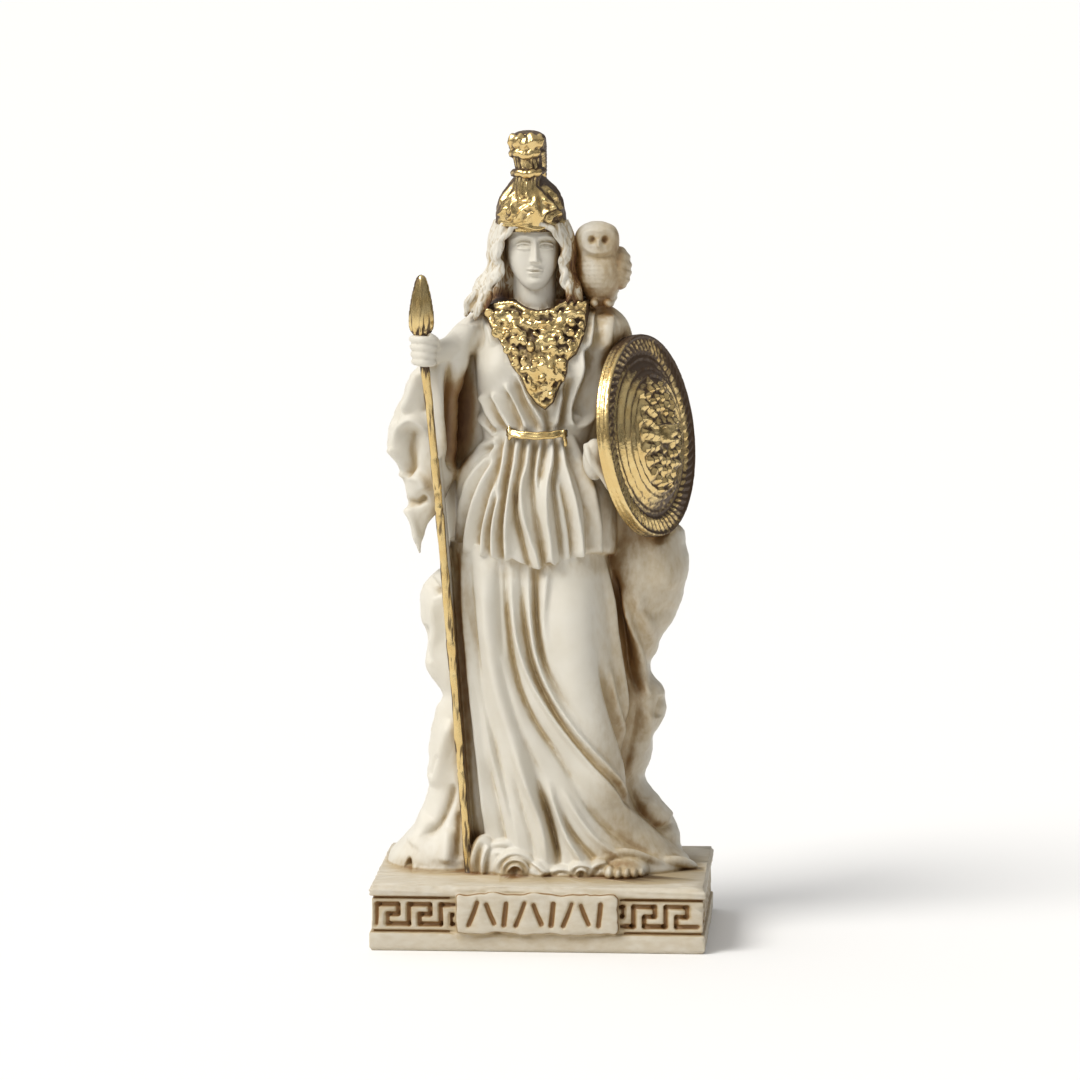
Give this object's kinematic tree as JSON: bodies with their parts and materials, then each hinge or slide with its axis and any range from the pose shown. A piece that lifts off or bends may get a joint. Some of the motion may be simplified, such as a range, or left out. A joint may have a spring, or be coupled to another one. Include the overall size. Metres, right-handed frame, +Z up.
{
  "type": "statuette",
  "caption": "Small cast statuette of a helmeted goddess with spear, round shield and owl, standing on an oblong plinth with a key-pattern band and a name tablet.",
  "frame": {"origin": "middle of the plinth's underside, on the surface that it stands on", "axes": "+Z up, -Y towards the figure's front, +X to the viewer's right, the side of the shield"},
  "size_m": [0.0368, 0.0272, 0.0889],
  "materials": {
    "cast_resin": "ivory cold-cast marble resin with a brown antique wash, and gold paint on helmet, breastplate, belt, shield and spear"
  },
  "bodies": {
    "root": {"statuette": "cast_resin"}
  },
  "joints": []
}
